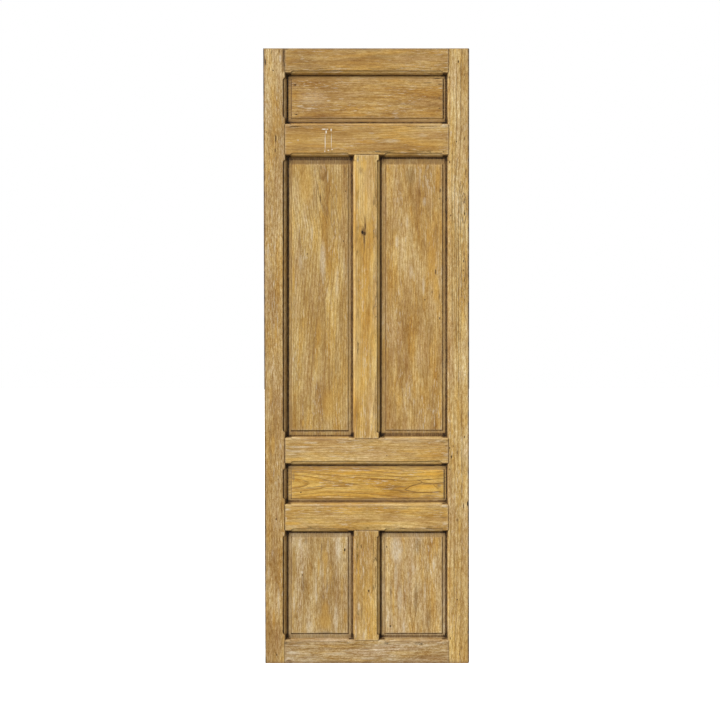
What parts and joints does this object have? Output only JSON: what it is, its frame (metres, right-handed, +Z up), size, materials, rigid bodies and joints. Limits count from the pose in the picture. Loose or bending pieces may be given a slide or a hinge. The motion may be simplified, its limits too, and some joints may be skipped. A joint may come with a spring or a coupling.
{
  "type": "interior door",
  "caption": "Old pine interior door leaf, frame and raised panels, stopped mouldings on the front, plain back, no ironmongery.",
  "frame": {"origin": "on the straight hinge edge, at mid height and mid thickness", "axes": "+Z up, +X out of the hinge edge, to the right seen from the moulded front, -Y out of the moulded front"},
  "size_m": [0.7147, 0.04, 2.1336],
  "materials": {
    "frame_wood": "worn waxed pine",
    "panel_wood": "worn waxed pine"
  },
  "bodies": {
    "root": {"stile_left": "frame_wood", "stile_right": "frame_wood", "top_rail": "frame_wood", "frieze_rail": "frame_wood", "lock_rail_upper": "frame_wood", "lock_rail_lower": "frame_wood", "bottom_rail": "frame_wood", "muntin_upper": "frame_wood", "muntin_lower": "frame_wood", "panel_top": "panel_wood", "panel_upper_left": "panel_wood", "panel_upper_right": "panel_wood", "panel_lock": "panel_wood", "panel_lower_left": "panel_wood", "panel_lower_right": "panel_wood"}
  },
  "joints": []
}
